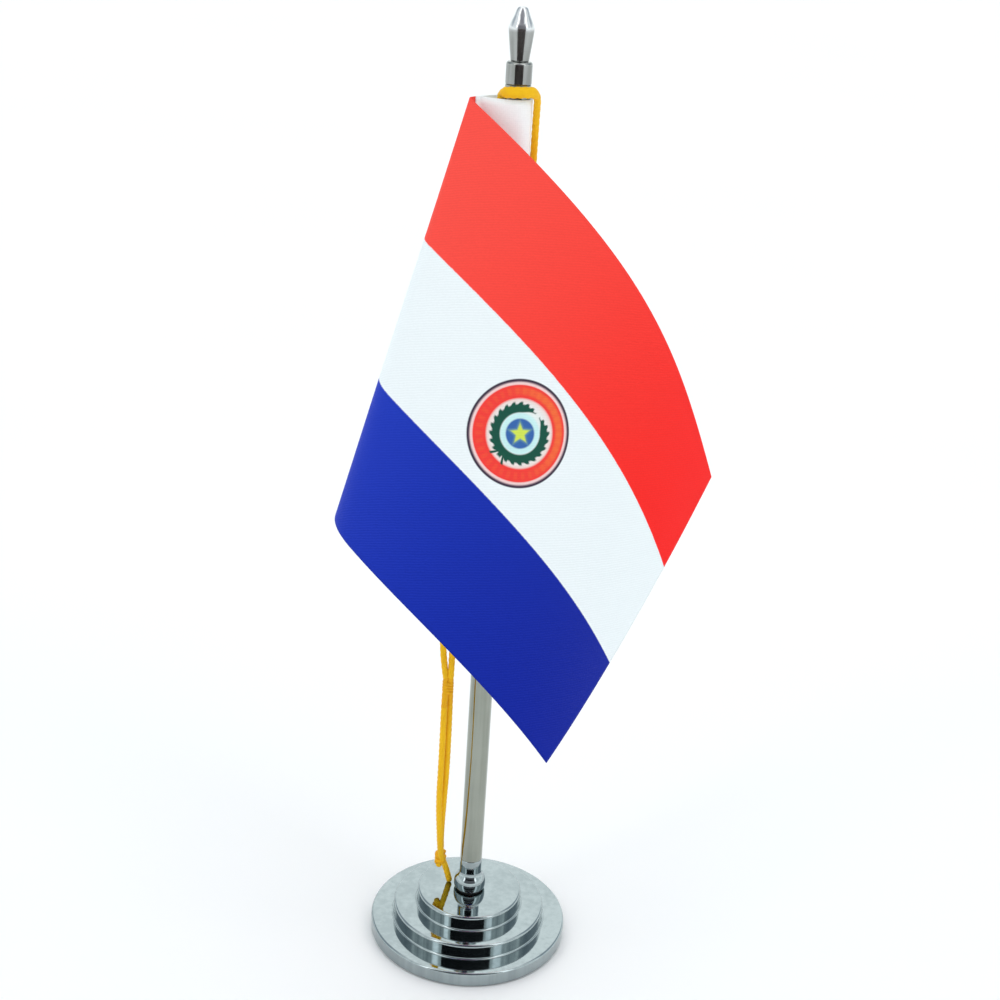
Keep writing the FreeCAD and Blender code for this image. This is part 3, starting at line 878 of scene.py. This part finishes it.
def floor():
    """Plain pale floor, in metres as the boards are."""
    material, g, place, _ = new_material("pale_floor")
    cloudy = g.noise(place, 3.0, 3.0)
    g.surface(
        Base_Color=g.mix(cloudy, (0.94, 0.945, 0.945), (0.97, 0.97, 0.97)),
        Roughness=0.9,
        Specular_IOR_Level=0.1,
    )
    mesh = bpy.data.meshes.new("floor")
    mesh.from_pydata([(-SIDE_EDGE, FRONT_EDGE, 0), (SIDE_EDGE, FRONT_EDGE, 0),
                      (SIDE_EDGE, BACK_EDGE, 0), (-SIDE_EDGE, BACK_EDGE, 0)], [], [(0, 1, 2, 3)])
    mesh.materials.append(material)
    piece = bpy.data.objects.new("floor", mesh)
    scene.collection.objects.link(piece)


def board(name, away, low, high, light, dark):
    """Dark board that curves round the front of the stand. It darkens part of what the
    shiny pieces mirror, and shows in no other way."""
    material, g, place, _ = new_material(name)
    g.surface(
        Base_Color=g.mix(g.noise(place, 8.0), dark, light),
        Roughness=0.9,
    )
    points, faces = [], []
    for k in range(BOARD_STEPS + 1):
        angle = BOARD_LEFT + (BOARD_RIGHT - BOARD_LEFT) * k / BOARD_STEPS
        x, y = away * math.sin(angle), -away * math.cos(angle)
        points += [(x, y, low), (x, y, high)]
    for k in range(BOARD_STEPS):
        faces.append((2 * k, 2 * k + 2, 2 * k + 3, 2 * k + 1))
    mesh = bpy.data.meshes.new(name)
    mesh.from_pydata(points, [], faces)
    mesh.materials.append(material)
    piece = bpy.data.objects.new(name, mesh)
    piece.visible_camera = False
    piece.visible_diffuse = False
    piece.visible_shadow = False
    scene.collection.objects.link(piece)


floor()
board("far_board", 0.45, 0.290, 0.385, (0.006, 0.005, 0.009), (0.002, 0.002, 0.003))
board("near_board", 0.20, 0.195, 0.370, (0.11, 0.088, 0.085), (0.03, 0.025, 0.025))


# ---- light: a bright room, with dark and pale panels and two softboxes in front ----------
# azimuth from and to, height from and to, softness of the edges, colour
PANELS = (
    (-42.0, 42.0, 12.0, 35.5, 2.0, (0.15, 0.15, 0.165)),
    (-26.0, 26.0, 35.5, 54.0, 2.0, (0.24, 0.24, 0.27)),
    (-15.0, 15.0, 50.0, 84.0, 4.0, (0.30, 0.30, 0.33)),
    (-52.0, -42.0, 20.0, 56.0, 2.0, (2.2, 2.2, 2.244)),
    (44.0, 57.0, 20.0, 56.0, 2.0, (1.9, 1.9, 1.938)),
)
LOW_SKY, HIGH_SKY = (0.97, 1.03, 1.03), (1.12, 1.14, 1.14)
BACK_SHADE, SIDE_SHADE = (0.16, 0.22, 0.28), (0.22, 0.27, 0.32)
SKY_STRENGTH = (1.26, 1.34)


def sky():
    """The room, painted on the world by direction: azimuth 0 is in front of the stand."""
    world = bpy.data.worlds.new("studio")
    scene.world = world
    world.use_nodes = True
    g = Graph(world.node_tree)
    place = g.add("ShaderNodeTexCoord").outputs["Generated"]
    split = g.add("ShaderNodeSeparateXYZ", {0: place})
    x, y, z = split.outputs
    azimuth = g.math("DEGREES", g.math("ARCTAN2", x, g.math("MULTIPLY", y, -1.0)))
    height = g.math("DEGREES", g.math("ARCSINE", z))

    def window(value, low, high, soft):
        rise = g.ease(value, low - soft, low + soft)
        fall = g.ease(value, high - soft, high + soft, 1.0, 0.0)
        return g.math("MULTIPLY", rise, fall)

    colour = g.mix(g.ease(height, 10.0, 70.0), LOW_SKY, HIGH_SKY)
    aside = g.math("ABSOLUTE", azimuth)
    shaded = g.math("MULTIPLY", window(aside, 96.0, 146.0, 8.0), window(height, 14.0, 58.0, 8.0))
    colour = g.mix(g.math("MULTIPLY", shaded, 0.75), colour, BACK_SHADE)
    upright = g.add("ShaderNodeCombineXYZ", {0: g.math("MULTIPLY", azimuth, 0.12)}).outputs[0]
    streaks = g.ease(g.noise(upright, 1.0, 3.0, 0.7), 0.35, 0.65, 0.0, 0.65)
    sides = g.math("MULTIPLY", window(aside, 50.0, 110.0, 6.0), window(height, 14.0, 60.0, 6.0))
    colour = g.mix(g.math("MULTIPLY", sides, streaks), colour, SIDE_SHADE)
    for left, right, low, high, soft, panel_colour in PANELS:
        panel = g.math("MULTIPLY", window(azimuth, left, right, soft),
                       window(height, low, high, soft))
        colour = g.mix(panel, colour, panel_colour)
    grain = g.noise(place, 2.5, 2.0)
    strength = g.ease(grain, 0.3, 0.7, *SKY_STRENGTH)
    background = g.add("ShaderNodeBackground", {0: colour, 1: strength})
    output = g.add("ShaderNodeOutputWorld")
    g.tree.links.new(background.outputs[0], output.inputs[0])


sky()

# ---- camera -----------------------------------------------------------------------------
CAMERA_PLACE = Vector((0.0, -0.5256, 0.3966))
YAW, PITCH, ROLL = math.radians(0.26), math.radians(22.95), math.radians(3.6)
SENSOR, FOCAL_LENGTH = 36.0, 61.13
lens = bpy.data.cameras.new("camera")
lens.sensor_width = SENSOR
lens.lens = FOCAL_LENGTH
camera = bpy.data.objects.new("camera", lens)
aim = (Matrix.Rotation(-YAW, 3, "Z") @ Matrix.Rotation(math.pi / 2 - PITCH, 3, "X")
       @ Matrix.Rotation(ROLL, 3, "Z"))
camera.matrix_world = Matrix.Translation(CAMERA_PLACE) @ aim.to_4x4()
scene.collection.objects.link(camera)
scene.camera = camera
scene.view_settings.view_transform = "Standard"
